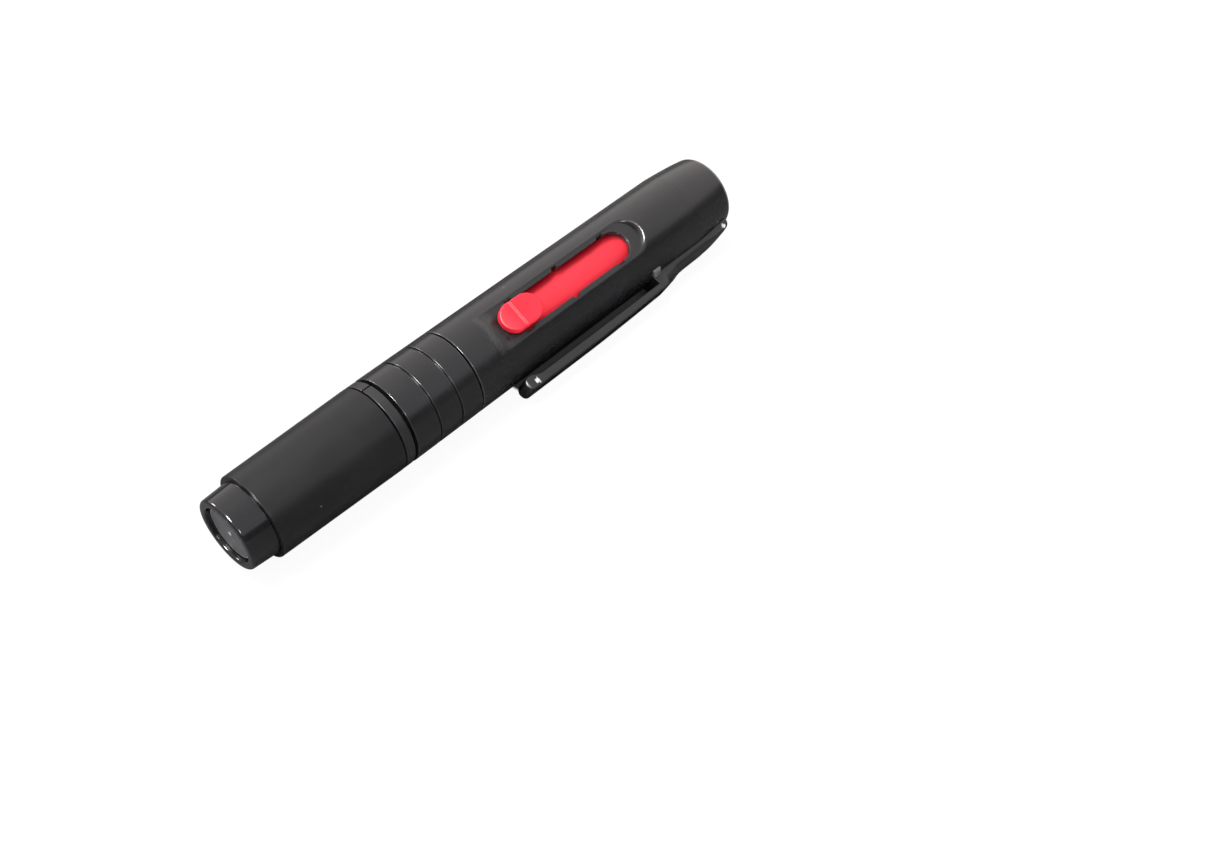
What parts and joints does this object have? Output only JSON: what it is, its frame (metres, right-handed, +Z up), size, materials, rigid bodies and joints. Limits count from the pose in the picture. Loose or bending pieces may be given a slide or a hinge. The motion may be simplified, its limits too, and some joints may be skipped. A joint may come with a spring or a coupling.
{
  "type": "lens cleaning pen",
  "caption": "Capped lens cleaning pen with a dished cleaning tip, a brush that slides out by a thumb button in a notched slot, grooved bands and a pocket clip.",
  "frame": {"origin": "middle of the pen's length and width, on the surface it lies on", "axes": "+X along the pen from the cap's end to the brush's mouth, +Z up from the surface, +Y away from the clip"},
  "size_m": [0.1114, 0.0182, 0.0168],
  "materials": {
    "barrel_plastic": "black ABS, semi-gloss moulded",
    "collar_plastic": "black, smooth polished bands",
    "spigot_plastic": "black, matte",
    "clip_base_plastic": "black, satin",
    "clip_arm_plastic": "black, satin",
    "button_plastic": "bright red, semi-matte moulded",
    "carrier_plastic": "bright red, semi-matte moulded",
    "ferrule_metal": "satin crimped band",
    "root_resin": "amber resin",
    "brush_hair": "soft dark hair",
    "stem_plastic": "black, matte",
    "neck_rubber": "soft black rubber",
    "head_plastic": "black elastomer",
    "pad_chamois": "soft napped pad loaded with carbon",
    "ring_plastic": "dark grey, fine matte",
    "cap_plastic": "black, satin moulded",
    "plug_plastic": "black, polished",
    "disc_plastic": "dark grey, matte",
    "cup_plastic": "natural grey, matte",
    "powder_foam": "open foam loaded with carbon powder"
  },
  "bodies": {
    "barrel": {"barrel_tube": "barrel_plastic", "front_collar": "collar_plastic", "spigot_core": "spigot_plastic", "tip_stem": "stem_plastic", "clip_base": "clip_base_plastic"},
    "clip": {"clip_arm": "clip_arm_plastic"},
    "brush": {"slide_button": "button_plastic", "brush_carrier": "carrier_plastic", "brush_ferrule": "ferrule_metal", "brush_root_plug": "root_resin", "brush_bristles": "brush_hair"},
    "neck": {"tip_neck": "neck_rubber"},
    "head": {"tip_head": "head_plastic", "tip_pad": "pad_chamois"},
    "ring": {"split_ring": "ring_plastic"},
    "cap": {"cap_shell": "cap_plastic", "cap_end_plug": "plug_plastic", "cap_end_disc": "disc_plastic", "refill_cup": "cup_plastic", "refill_pad": "powder_foam"}
  },
  "joints": [
    {"name": "brush_slide", "type": "slide", "parent": "barrel", "child": "brush", "axis": [1, 0, 0], "range_m": [0, 0.0226]},
    {"name": "clip_flex", "type": "hinge", "parent": "barrel", "child": "clip", "pos_m": [0.0333, -0.00709, 0.00234], "axis": [0, -0.5676, 0.8233], "range_deg": [0, 6], "stiffness_Nm_per_rad": 0.4},
    {"name": "neck_bend", "type": "hinge", "parent": "barrel", "child": "neck", "pos_m": [-0.0384, 0.00111, 0.008], "axis": [0, 1, 0], "range_deg": [-6, 6], "stiffness_Nm_per_rad": 0.03},
    {"name": "head_tip", "type": "hinge", "parent": "neck", "child": "head", "pos_m": [-0.0416, 0.00111, 0.008], "axis": [0, 0, 1], "range_deg": [-6, 6], "stiffness_Nm_per_rad": 0.03},
    {"name": "cap_twist", "type": "hinge", "parent": "barrel", "child": "ring", "pos_m": [-0.0252, 0.00111, 0.008], "axis": [1, 0, 0], "continuous": true},
    {"name": "cap_pull", "type": "slide", "parent": "ring", "child": "cap", "axis": [-1, 0, 0], "range_m": [0, 0.035]}
  ]
}
